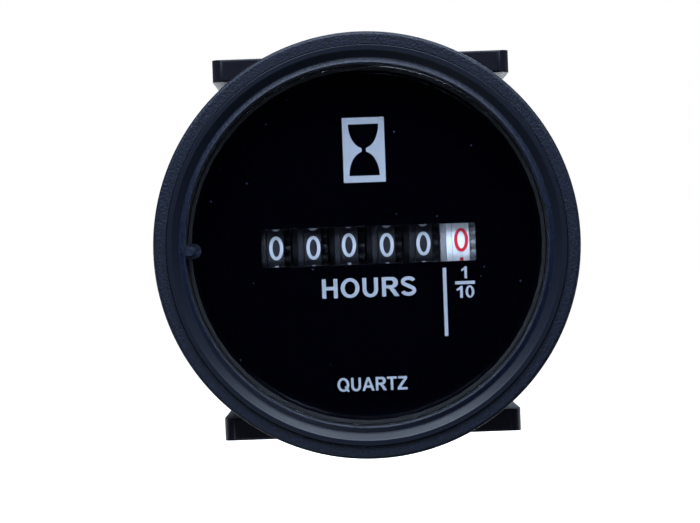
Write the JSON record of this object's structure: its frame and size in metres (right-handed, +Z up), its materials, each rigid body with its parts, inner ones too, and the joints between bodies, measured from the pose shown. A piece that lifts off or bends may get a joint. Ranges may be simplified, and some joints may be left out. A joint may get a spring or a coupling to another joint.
{
  "type": "hour meter",
  "caption": "Round panel-mount hour meter: flanged case with a clear lens, black dial, geared number-wheel counter and stepper motor inside, clamp bracket and blade terminals behind.",
  "frame": {"origin": "centre of the panel hole, in the plane where the back of the flange seats on the panel", "axes": "+X to the right as the dial is read, +Y into the panel along the barrel, +Z up"},
  "size_m": [0.0596, 0.0474, 0.0596],
  "materials": {
    "housing_black": "fine spark-eroded texture, black",
    "ring_black": "satin black",
    "lens_clear": "clear polycarbonate",
    "seal_rubber": "matte",
    "dial_black": "gloss black with light grey print",
    "wheel_black": "moulded black with light grey digits",
    "wheel_white": "moulded white with red digits",
    "frame_steel": "zinc plated",
    "shaft_steel": "ground",
    "pillar_brass": "turned",
    "gear_acetal": "natural acetal",
    "plate_brass": "stamped",
    "magnet_ferrite": "bonded ferrite",
    "stator_steel": "annealed soft iron",
    "bobbin_nylon": "natural nylon",
    "coil_copper": "enamelled copper wire",
    "screw_steel": "zinc plated",
    "board_green": "glass-fibre board, solder mask",
    "chip_epoxy": "moulded epoxy",
    "can_tin": "tinned can",
    "capacitor_sleeve": "shrink sleeve",
    "resistor_body": "lacquered",
    "blade_tin": "tin plated brass",
    "stud_steel": "zinc plated",
    "nut_brass": "turned",
    "bracket_black": "smooth black"
  },
  "bodies": {
    "meter_body": {"housing": "housing_black", "front_ring": "ring_black", "lens": "lens_clear", "lens_seal": "seal_rubber", "dial": "dial_black", "frame_plate_left": "frame_steel", "frame_plate_right": "frame_steel", "frame_pillar_top": "pillar_brass", "frame_pillar_bottom": "pillar_brass", "frame_pillar_rear": "pillar_brass", "wheel_shaft": "shaft_steel", "pinion_shaft": "shaft_steel", "stator": "stator_steel", "coil_core": "stator_steel", "coil_bobbin": "bobbin_nylon", "coil_winding": "coil_copper", "motor_plate": "plate_brass", "motor_screw_front": "screw_steel", "motor_screw_rear": "screw_steel", "bridge_plate": "plate_brass", "bridge_pillar_front": "pillar_brass", "bridge_pillar_rear": "pillar_brass", "circuit_board": "board_green", "timer_chip": "chip_epoxy", "crystal_can": "can_tin", "capacitor": "capacitor_sleeve", "resistor_upper": "resistor_body", "resistor_lower": "resistor_body", "diode_1": "chip_epoxy", "diode_2": "chip_epoxy", "diode_3": "chip_epoxy", "diode_4": "chip_epoxy", "coil_lead_start": "coil_copper", "coil_lead_end": "coil_copper", "rear_cover": "housing_black", "terminal_left": "blade_tin", "terminal_right": "blade_tin", "stud_left": "stud_steel", "stud_right": "stud_steel", "washer_left": "stud_steel", "washer_right": "stud_steel", "nut_left": "nut_brass", "nut_right": "nut_brass", "bracket": "bracket_black"},
    "tenths_wheel": {"wheel_tenths": "wheel_white"},
    "units_wheel": {"wheel_units": "wheel_black"},
    "tens_wheel": {"wheel_tens": "wheel_black"},
    "hundreds_wheel": {"wheel_hundreds": "wheel_black"},
    "thousands_wheel": {"wheel_thousands": "wheel_black"},
    "ten_thousands_wheel": {"wheel_ten_thousands": "wheel_black"},
    "pinion_units": {"pinion_to_units": "gear_acetal"},
    "pinion_tens": {"pinion_to_tens": "gear_acetal"},
    "pinion_hundreds": {"pinion_to_hundreds": "gear_acetal"},
    "pinion_thousands": {"pinion_to_thousands": "gear_acetal"},
    "pinion_ten_thousands": {"pinion_to_ten_thousands": "gear_acetal"},
    "drive_gear_body": {"drive_gear": "gear_acetal"},
    "second_gear_body": {"second_gear": "gear_acetal"},
    "rotor": {"rotor_shaft": "shaft_steel", "rotor_magnet": "magnet_ferrite"}
  },
  "joints": [
    {"name": "tenths_turn", "type": "hinge", "parent": "meter_body", "child": "tenths_wheel", "pos_m": [0, 0.00835, 0], "axis": [-1, 0, 0], "continuous": true},
    {"name": "units_turn", "type": "hinge", "parent": "meter_body", "child": "units_wheel", "pos_m": [0, 0.00835, 0], "axis": [-1, 0, 0], "continuous": true},
    {"name": "tens_turn", "type": "hinge", "parent": "meter_body", "child": "tens_wheel", "pos_m": [0, 0.00835, 0], "axis": [-1, 0, 0], "continuous": true},
    {"name": "hundreds_turn", "type": "hinge", "parent": "meter_body", "child": "hundreds_wheel", "pos_m": [0, 0.00835, 0], "axis": [-1, 0, 0], "continuous": true},
    {"name": "thousands_turn", "type": "hinge", "parent": "meter_body", "child": "thousands_wheel", "pos_m": [0, 0.00835, 0], "axis": [-1, 0, 0], "continuous": true},
    {"name": "ten_thousands_turn", "type": "hinge", "parent": "meter_body", "child": "ten_thousands_wheel", "pos_m": [0, 0.00835, 0], "axis": [-1, 0, 0], "continuous": true},
    {"name": "pinion_units_turn", "type": "hinge", "parent": "meter_body", "child": "pinion_units", "pos_m": [0, 0.01398, -0.00472], "axis": [-1, 0, 0], "continuous": true},
    {"name": "pinion_tens_turn", "type": "hinge", "parent": "meter_body", "child": "pinion_tens", "pos_m": [0, 0.01398, -0.00472], "axis": [-1, 0, 0], "continuous": true},
    {"name": "pinion_hundreds_turn", "type": "hinge", "parent": "meter_body", "child": "pinion_hundreds", "pos_m": [0, 0.01398, -0.00472], "axis": [-1, 0, 0], "continuous": true},
    {"name": "pinion_thousands_turn", "type": "hinge", "parent": "meter_body", "child": "pinion_thousands", "pos_m": [0, 0.01398, -0.00472], "axis": [-1, 0, 0], "continuous": true},
    {"name": "pinion_ten_thousands_turn", "type": "hinge", "parent": "meter_body", "child": "pinion_ten_thousands", "pos_m": [0, 0.01398, -0.00472], "axis": [-1, 0, 0], "continuous": true},
    {"name": "drive_gear_turn", "type": "hinge", "parent": "meter_body", "child": "drive_gear_body", "pos_m": [0, 0.01526, 0.00251], "axis": [-1, 0, 0], "continuous": true},
    {"name": "second_gear_turn", "type": "hinge", "parent": "meter_body", "child": "second_gear_body", "pos_m": [0, 0.02137, -0.00404], "axis": [-1, 0, 0], "continuous": true},
    {"name": "rotor_turn", "type": "hinge", "parent": "meter_body", "child": "rotor", "pos_m": [0, 0.01572, -0.00969], "axis": [-1, 0, 0], "continuous": true}
  ],
  "couplings": [
    {"joint": "units_turn", "follows": "tenths_turn", "ratio": 0.1},
    {"joint": "tens_turn", "follows": "tenths_turn", "ratio": 0.01},
    {"joint": "hundreds_turn", "follows": "tenths_turn", "ratio": 0.001},
    {"joint": "thousands_turn", "follows": "tenths_turn", "ratio": 0.0001},
    {"joint": "ten_thousands_turn", "follows": "tenths_turn", "ratio": 0.00001},
    {"joint": "pinion_units_turn", "follows": "tenths_turn", "ratio": -0.25},
    {"joint": "pinion_tens_turn", "follows": "tenths_turn", "ratio": -0.025},
    {"joint": "pinion_hundreds_turn", "follows": "tenths_turn", "ratio": -0.0025},
    {"joint": "pinion_thousands_turn", "follows": "tenths_turn", "ratio": -0.00025},
    {"joint": "pinion_ten_thousands_turn", "follows": "tenths_turn", "ratio": -0.000025},
    {"joint": "drive_gear_turn", "follows": "tenths_turn", "ratio": -2.5},
    {"joint": "second_gear_turn", "follows": "tenths_turn", "ratio": 15},
    {"joint": "rotor_turn", "follows": "tenths_turn", "ratio": -112.5}
  ]
}
